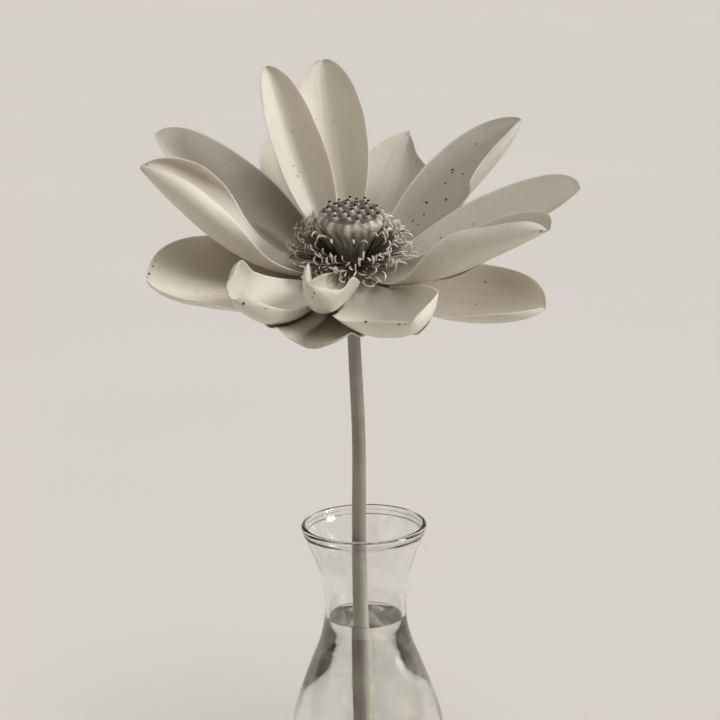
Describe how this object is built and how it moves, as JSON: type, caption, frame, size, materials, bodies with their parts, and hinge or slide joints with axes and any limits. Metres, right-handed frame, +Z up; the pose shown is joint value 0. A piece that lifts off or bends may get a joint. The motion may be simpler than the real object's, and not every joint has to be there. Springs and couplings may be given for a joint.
{
  "type": "cut lotus flower in glass carafe",
  "caption": "Open lotus bloom with a flat-topped seed pod and a ring of stamens on a cut stem, standing in a flared clear glass carafe filled with water to its waist.",
  "frame": {"origin": "centre of the carafe's flat underside", "axes": "+Z up through the carafe; -Y the side that the bloom leans to and the picture was taken from; +X right in the picture"},
  "size_m": [0.2187, 0.2036, 0.4512],
  "materials": {
    "vase": "clear polished glass",
    "water": "clear still water",
    "stem": "smooth green-brown stalk with tiny prickles",
    "pod": "matt spongy seed pod with dark-dotted carpels",
    "stamens": "matt pale threads with darker stalks",
    "petal": "satin ivory petal with fine lengthwise veins"
  },
  "bodies": {
    "root": {"vase": "vase", "water": "water", "stem": "stem", "seed_pod": "pod", "stamens": "stamens", "petal_a": "petal", "petal_b": "petal", "petal_c": "petal", "petal_d": "petal", "petal_e": "petal", "petal_f": "petal", "petal_g": "petal", "petal_h": "petal", "petal_i": "petal", "petal_j": "petal", "petal_k": "petal", "petal_l": "petal", "petal_m": "petal", "petal_n": "petal", "petal_o": "petal", "petal_p": "petal"}
  },
  "joints": []
}
